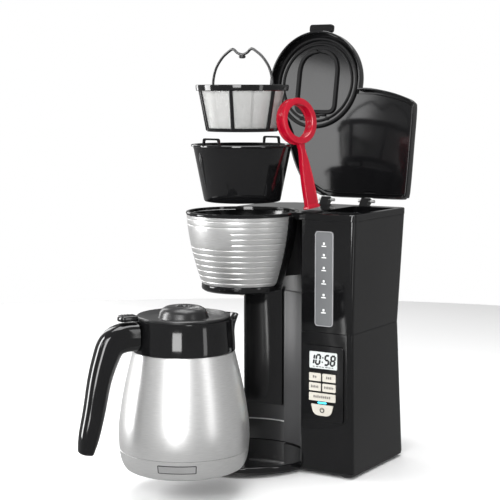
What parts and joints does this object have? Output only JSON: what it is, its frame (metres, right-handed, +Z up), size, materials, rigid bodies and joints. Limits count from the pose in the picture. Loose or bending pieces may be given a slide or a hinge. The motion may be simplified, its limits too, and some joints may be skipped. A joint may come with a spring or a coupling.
{
  "type": "drip coffee maker",
  "caption": "Drip coffee maker with a water tower, an open hinged lid, a lift-out basket and mesh filter, a fold-down spray arm and a thermal steel carafe.",
  "frame": {"origin": "on the surface that the feet stand on, under the middle of the whole object's box", "axes": "+X to the machine's right, +Y to its back, +Z up"},
  "size_m": [0.257, 0.4662, 0.571],
  "materials": {
    "black_gloss": "polished black moulded plastic",
    "black_satin": "satin black moulded plastic",
    "steel": "brushed stainless steel",
    "red": "glossy deep red plastic",
    "mesh": "fine woven steel mesh",
    "clear": "clear moulded plastic",
    "lcd": "grey liquid crystal display",
    "key": "satin cream plastic keys",
    "lamp": "cyan indicator lens",
    "rubber": "matt black rubber",
    "board": "green circuit board",
    "aluminium": "extruded aluminium",
    "silicone": "translucent silicone"
  },
  "bodies": {
    "machine": {"base_pan": "black_satin", "platform_shell": "black_gloss", "foot_1": "rubber", "foot_2": "rubber", "foot_3": "rubber", "foot_4": "rubber", "tower_lower_shell": "black_gloss", "tank_housing": "black_gloss", "sight_window": "clear", "water_tank": "clear", "cord_gland": "rubber", "bay_column": "black_satin", "bay_panel": "black_gloss", "deck_plate": "black_gloss", "hinge_pin_left": "steel", "hinge_pin_right": "steel", "control_bezel": "black_gloss", "display_screen": "lcd", "power_lamp": "lamp", "control_board": "board", "head_shell": "black_satin", "steel_band": "steel", "rear_cowl": "black_gloss", "head_bracket": "black_satin", "head_rim": "black_gloss", "head_base_ring": "black_gloss", "drip_nozzle": "black_satin", "spray_arm": "red", "arm_socket": "black_satin", "heater_tube": "aluminium", "inlet_hose": "silicone", "riser_hose": "silicone", "thermostat": "aluminium", "power_board": "board"},
    "lid": {"lid_shell": "black_gloss", "lid_liner": "black_gloss", "lid_seal": "rubber", "spray_recess_rim": "black_gloss"},
    "basket": {"brew_basket": "black_gloss", "basket_valve": "silicone"},
    "filter": {"filter_frame": "black_gloss", "filter_mesh": "mesh"},
    "bail": {"bail_wire": "black_gloss", "bail_grip": "black_satin"},
    "drip_stop": {"drip_plunger": "silicone"},
    "carafe": {"carafe_base_cap": "black_satin", "carafe_shell": "steel", "carafe_liner": "steel", "carafe_collar": "black_gloss", "carafe_handle": "black_gloss"},
    "carafe_cap": {"carafe_lid": "black_gloss", "carafe_gasket": "silicone"},
    "lever": {"thumb_lever": "black_gloss"},
    "hour_key_body": {"hour_key": "key"},
    "minute_key_body": {"minute_key": "key"},
    "program_key_body": {"program_key": "key"},
    "auto_key_body": {"auto_key": "key"},
    "strength_key_body": {"strength_key": "key"},
    "power_key_body": {"power_key": "key"}
  },
  "joints": [
    {"name": "lid_hinge", "type": "hinge", "parent": "machine", "child": "lid", "pos_m": [0.1285, 0.18315, 0.335], "axis": [1, 0, 0], "range_deg": [0, 100], "deforming": ["spray_arm"]},
    {"name": "basket_drop", "type": "slide", "parent": "machine", "child": "basket", "axis": [0, 0, -1], "range_m": [0, 0.0866]},
    {"name": "filter_drop", "type": "slide", "parent": "basket", "child": "filter", "axis": [0, 0, -1], "range_m": [0, 0.0721]},
    {"name": "bail_fold", "type": "hinge", "parent": "filter", "child": "bail", "pos_m": [-0.0255, 0.02315, 0.485], "axis": [0.9816, -0.1908, 0], "range_deg": [0, 86.1]},
    {"name": "carafe_slide", "type": "slide", "parent": "machine", "child": "carafe", "axis": [-0.0287, 0.9912, -0.1293], "range_m": [0, 0.13893]},
    {"name": "carafe_lid_twist", "type": "hinge", "parent": "carafe", "child": "carafe_cap", "pos_m": [-0.0215, -0.11485, 0.204], "axis": [0, 0, 1], "range_deg": [0, 75]},
    {"name": "thumb_lever_press", "type": "hinge", "parent": "carafe", "child": "lever", "pos_m": [-0.0545, -0.17201, 0.217], "axis": [0.866, -0.5, 0], "range_deg": [0, 6], "stiffness_Nm_per_rad": 0.2},
    {"name": "drip_stop_lift", "type": "slide", "parent": "machine", "child": "drip_stop", "axis": [0, 0, 1], "range_m": [0, 0.004], "stiffness_N_per_m": 60},
    {"name": "hour_press", "type": "slide", "parent": "machine", "child": "hour_key_body", "axis": [0, 1, 0], "range_m": [0, 0.0012], "stiffness_N_per_m": 300},
    {"name": "minute_press", "type": "slide", "parent": "machine", "child": "minute_key_body", "axis": [0, 1, 0], "range_m": [0, 0.0012], "stiffness_N_per_m": 300},
    {"name": "program_press", "type": "slide", "parent": "machine", "child": "program_key_body", "axis": [0, 1, 0], "range_m": [0, 0.0012], "stiffness_N_per_m": 300},
    {"name": "auto_press", "type": "slide", "parent": "machine", "child": "auto_key_body", "axis": [0, 1, 0], "range_m": [0, 0.0012], "stiffness_N_per_m": 300},
    {"name": "strength_press", "type": "slide", "parent": "machine", "child": "strength_key_body", "axis": [0, 1, 0], "range_m": [0, 0.0012], "stiffness_N_per_m": 300},
    {"name": "power_press", "type": "slide", "parent": "machine", "child": "power_key_body", "axis": [0, 1, 0], "range_m": [0, 0.0012], "stiffness_N_per_m": 300}
  ],
  "couplings": [
    {"joint": "basket_drop", "follows": "lid_hinge", "m_per_rad": 0.04956},
    {"joint": "filter_drop", "follows": "lid_hinge", "m_per_rad": 0.04125},
    {"joint": "bail_fold", "follows": "lid_hinge", "ratio": 0.86}
  ]
}
